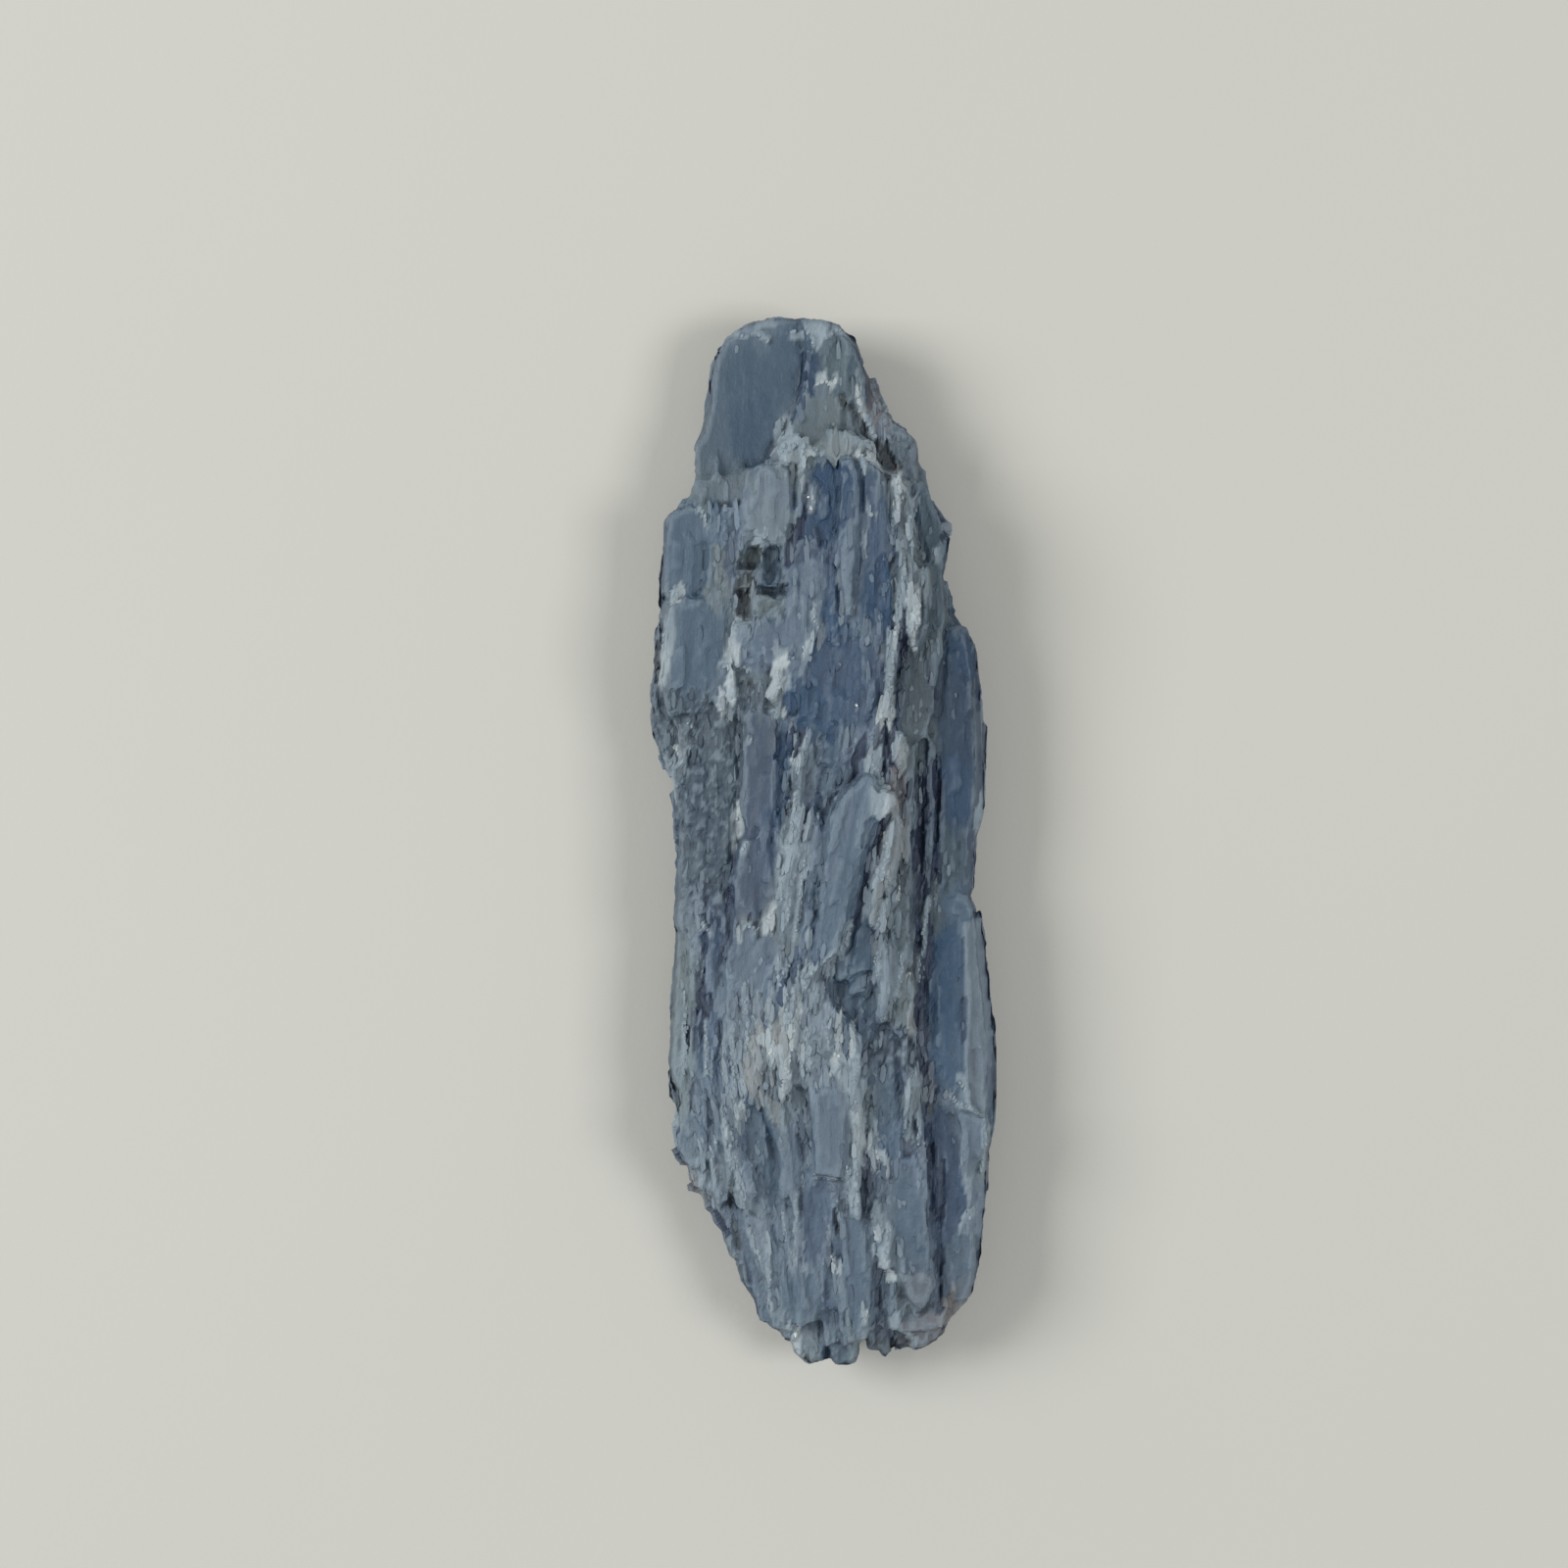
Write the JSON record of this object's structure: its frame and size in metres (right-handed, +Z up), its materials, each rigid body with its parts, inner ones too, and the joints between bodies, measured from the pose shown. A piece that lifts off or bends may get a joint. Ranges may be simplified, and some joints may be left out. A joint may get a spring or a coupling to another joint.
{
  "type": "kyanite blade cluster",
  "caption": "Natural cluster of flat blue-grey kyanite blades grown together side by side, with a broken splintery lower end; lies on a flat cleavage face.",
  "frame": {"origin": "centre of the bounding box at its lowest level, on the flat cleavage face that it rests on", "axes": "+Z up, the best face; +Y along the blades, towards the smooth rounded crown; +X to the right, seen from above"},
  "size_m": [0.024, 0.072, 0.0093],
  "materials": {
    "kyanite": "translucent blue-grey bladed mineral, fibrous, with pale frayed edges and dark mica specks"
  },
  "bodies": {
    "root": {"kyanite_cluster": "kyanite"}
  },
  "joints": []
}
